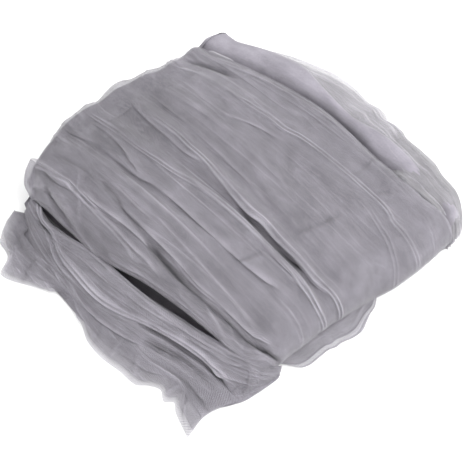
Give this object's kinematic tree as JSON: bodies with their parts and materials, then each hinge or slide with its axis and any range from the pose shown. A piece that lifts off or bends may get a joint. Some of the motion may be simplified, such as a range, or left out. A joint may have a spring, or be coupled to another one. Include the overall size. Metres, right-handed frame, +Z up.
{
  "type": "folded bed canopy net",
  "caption": "Fine grey tulle bed canopy net, gathered into a long band and folded to and fro into a loose soft bundle.",
  "frame": {"origin": "centre of the bundle's outline from above, on the surface that it rests on", "axes": "+X along the creases, from the folds and free ends at the back to the rounded wrap at the front; +Y across the creases, away from the open slot and the loose flaps; +Z up"},
  "size_m": [0.4154, 0.4716, 0.0875],
  "materials": {
    "net": "matt sheer tulle, several plies deep"
  },
  "bodies": {
    "root": {"net": "net"}
  },
  "joints": []
}
